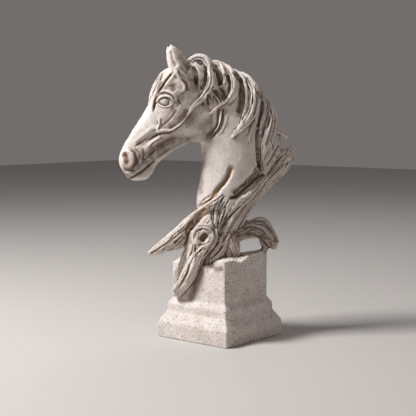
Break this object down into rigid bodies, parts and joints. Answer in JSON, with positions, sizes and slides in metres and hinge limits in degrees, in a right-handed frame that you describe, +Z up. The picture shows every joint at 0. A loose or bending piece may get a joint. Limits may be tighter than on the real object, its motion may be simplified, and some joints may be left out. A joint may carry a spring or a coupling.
{
  "type": "horse head sculpture",
  "caption": "Cast stone-resin sculpture of a horse's head and neck rising from driftwood on a broken square plinth, for a shelf or desk.",
  "frame": {"origin": "centre of the plinth's flat underside", "axes": "+Z up; X and Y square to the plinth's sides; the horse looks along the plinth's diagonal, towards -X -Y"},
  "size_m": [0.1329, 0.1332, 0.2953],
  "materials": {
    "cast_stone_resin": "matt, fine speckle"
  },
  "bodies": {
    "root": {"horse_head_sculpture": "cast_stone_resin"}
  },
  "joints": []
}
